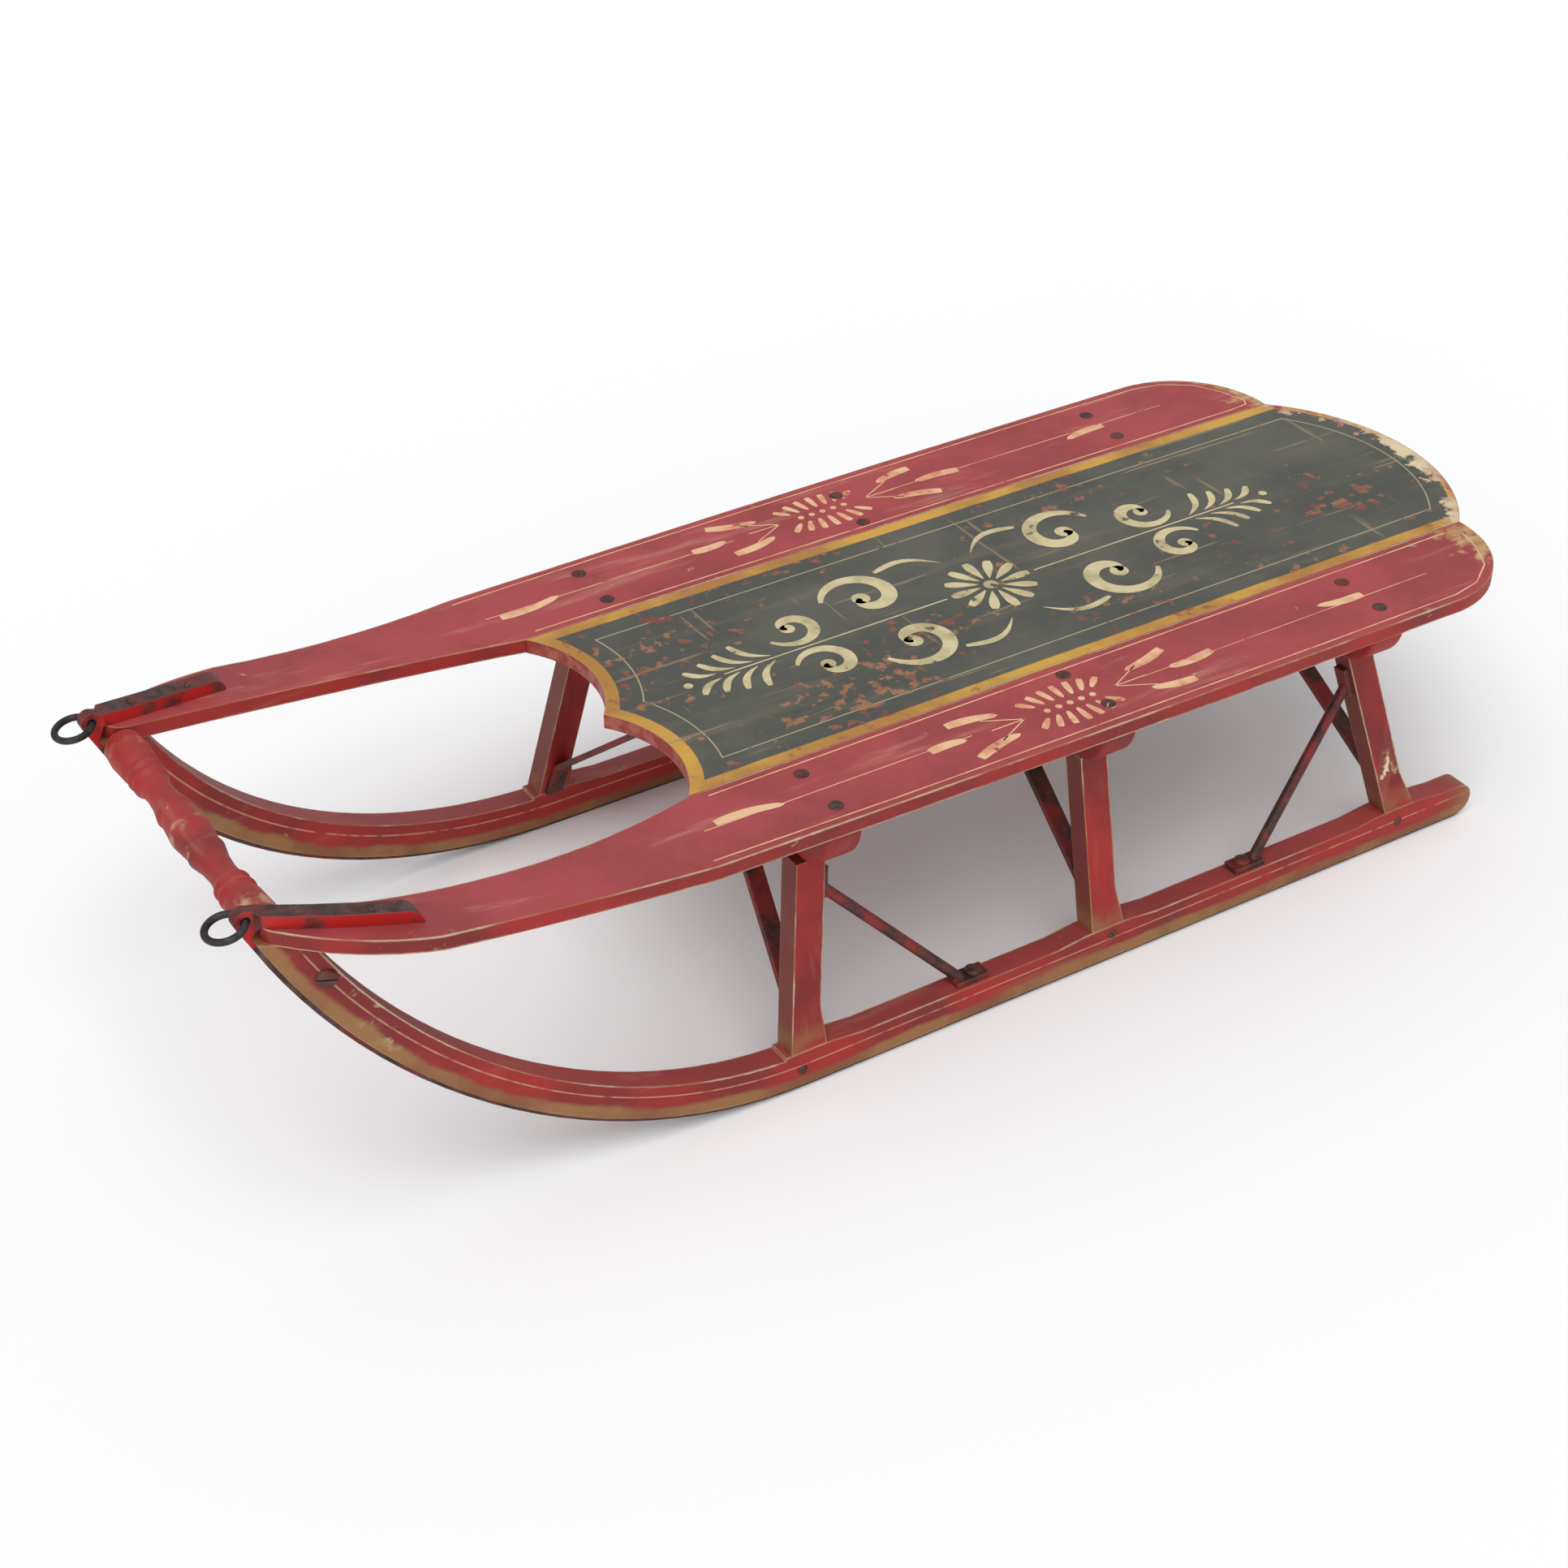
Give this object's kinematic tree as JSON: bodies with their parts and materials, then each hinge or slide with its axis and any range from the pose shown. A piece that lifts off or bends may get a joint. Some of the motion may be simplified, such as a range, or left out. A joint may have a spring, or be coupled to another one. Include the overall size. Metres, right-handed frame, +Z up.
{
  "type": "child's sled",
  "caption": "Antique wooden child's sled with a three-board deck on posts, bent runners shod with iron, a turned nose bar and hinged pull rings.",
  "frame": {"origin": "on the floor under the middle of the whole sled", "axes": "+X forward, the way it is pulled; +Y to its left; +Z up"},
  "size_m": [0.9391, 0.349, 0.2267],
  "materials": {
    "red_wood": "worn red paint on wood",
    "green_wood": "worn dark grey-green paint with a gold border",
    "iron": "dark worn iron with remains of red paint",
    "ring_iron": "dark bare iron"
  },
  "bodies": {
    "sled": {"beam_front": "red_wood", "beam_middle": "red_wood", "beam_rear": "red_wood", "brace_front_left": "iron", "brace_front_right": "iron", "brace_middle_left": "iron", "brace_middle_right": "iron", "brace_rear_left": "iron", "brace_rear_right": "iron", "centre_board": "green_wood", "nose_bar": "red_wood", "post_front_left": "red_wood", "post_front_right": "red_wood", "post_middle_left": "red_wood", "post_middle_right": "red_wood", "post_rear_left": "red_wood", "post_rear_right": "red_wood", "rod_front_left": "iron", "rod_front_right": "iron", "rod_rear_left": "iron", "rod_rear_right": "iron", "runner_left": "red_wood", "runner_right": "red_wood", "runner_shoe_left": "iron", "runner_shoe_right": "iron", "side_board_left": "red_wood", "side_board_right": "red_wood"},
    "ring_left": {"pull_ring_left": "ring_iron"},
    "ring_right": {"pull_ring_right": "ring_iron"}
  },
  "joints": [
    {"name": "ring_left_swing", "type": "hinge", "parent": "sled", "child": "ring_left", "pos_m": [0.44577, 0.11043, 0.22015], "axis": [0, 1, 0], "range_deg": [-145, 65]},
    {"name": "ring_right_swing", "type": "hinge", "parent": "sled", "child": "ring_right", "pos_m": [0.44577, -0.11043, 0.22015], "axis": [0, 1, 0], "range_deg": [-145, 65]}
  ]
}
